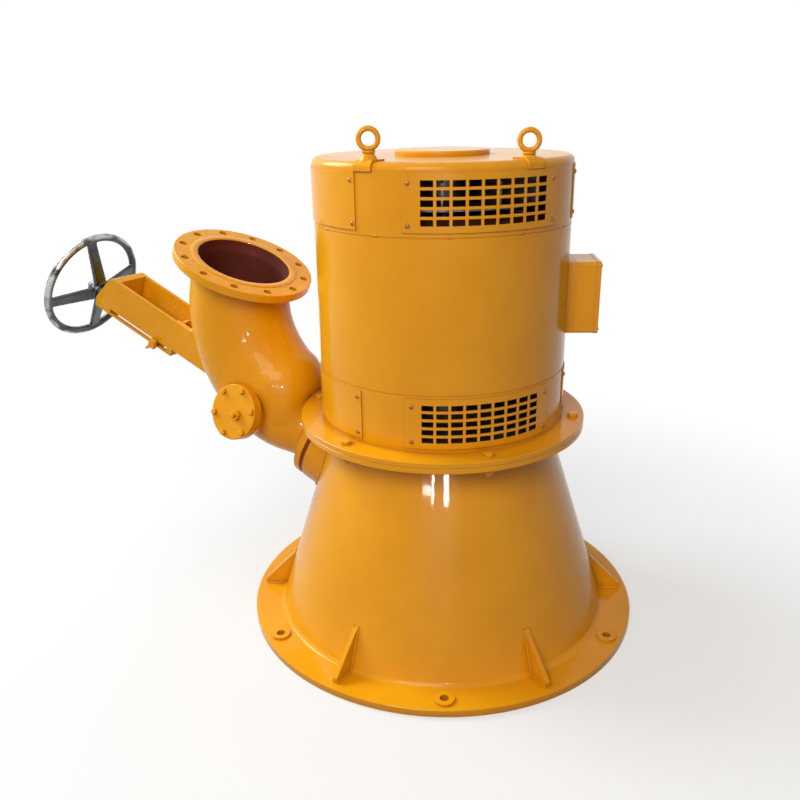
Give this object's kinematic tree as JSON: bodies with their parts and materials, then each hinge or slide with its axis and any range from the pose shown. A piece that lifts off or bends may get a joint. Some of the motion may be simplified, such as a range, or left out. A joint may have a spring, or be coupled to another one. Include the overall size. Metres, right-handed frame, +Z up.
{
  "type": "hydroelectric generator",
  "caption": "Vertical micro hydroelectric generator on a conical inclined-jet turbine housing, with an inlet elbow, an inspection cover and a handwheel-driven needle nozzle.",
  "frame": {"origin": "centre of the foundation ring's underside, on the machine axis", "axes": "+Z up along the machine axis, -Y towards the front of the machine, +X towards the terminal box; the nozzle stands on the -X side"},
  "size_m": [1.7997, 1.2167, 1.317],
  "materials": {
    "orange_enamel": "glossy orange enamel",
    "spacer_paint": "red-brown primer",
    "core_steel": "dark laminated steel",
    "winding_varnish": "red-brown winding varnish",
    "bright_steel": "machined steel",
    "runner_bronze": "cast bronze",
    "wheel_iron": "dark grey cast iron, worn bright on the rim"
  },
  "bodies": {
    "body": {"casing_lower": "orange_enamel", "casing_middle": "orange_enamel", "casing_upper": "orange_enamel", "centre_cover": "orange_enamel", "cooling_fan": "core_steel", "cover_pad": "orange_enamel", "elbow_body": "orange_enamel", "foundation_ribs": "orange_enamel", "foundation_ring": "orange_enamel", "generator_flange": "orange_enamel", "gland_follower": "orange_enamel", "housing_cone": "orange_enamel", "housing_flange": "orange_enamel", "inlet_flange": "orange_enamel", "inspection_cover": "orange_enamel", "lifting_eye_left": "orange_enamel", "lifting_eye_right": "orange_enamel", "lower_bearing": "core_steel", "lower_blank_left": "orange_enamel", "lower_blank_right": "orange_enamel", "lower_grille_back": "orange_enamel", "lower_grille_front": "orange_enamel", "main_shaft": "bright_steel", "nozzle_boss": "orange_enamel", "nozzle_pipe": "orange_enamel", "outlet_flange": "orange_enamel", "rotor": "core_steel", "runner": "runner_bronze", "spacer_ring": "spacer_paint", "stator_core": "core_steel", "stator_ribs": "orange_enamel", "terminal_box": "orange_enamel", "terminal_lid": "orange_enamel", "terminal_neck": "orange_enamel", "top_cover": "orange_enamel", "upper_blank_left": "orange_enamel", "upper_blank_right": "orange_enamel", "upper_grille_back": "orange_enamel", "upper_grille_front": "orange_enamel", "windings": "winding_varnish", "yoke": "orange_enamel"},
    "handwheel": {"handwheel": "wheel_iron", "hub_nut": "wheel_iron", "wheel_screw": "bright_steel"},
    "needle": {"needle_rod": "bright_steel", "crosshead": "orange_enamel"}
  },
  "joints": [
    {"name": "handwheel_turn", "type": "hinge", "parent": "body", "child": "handwheel", "pos_m": [-1.11938, 0.49478, 0.80191], "axis": [-0.8195, 0.4266, 0.3827], "range_deg": [0, 3600]},
    {"name": "needle_travel", "type": "slide", "parent": "body", "child": "needle", "axis": [-0.8195, 0.4266, 0.3827], "range_m": [0, 0.08]}
  ],
  "couplings": [
    {"joint": "needle_travel", "follows": "handwheel_turn", "m_per_rad": 0.0012732}
  ]
}
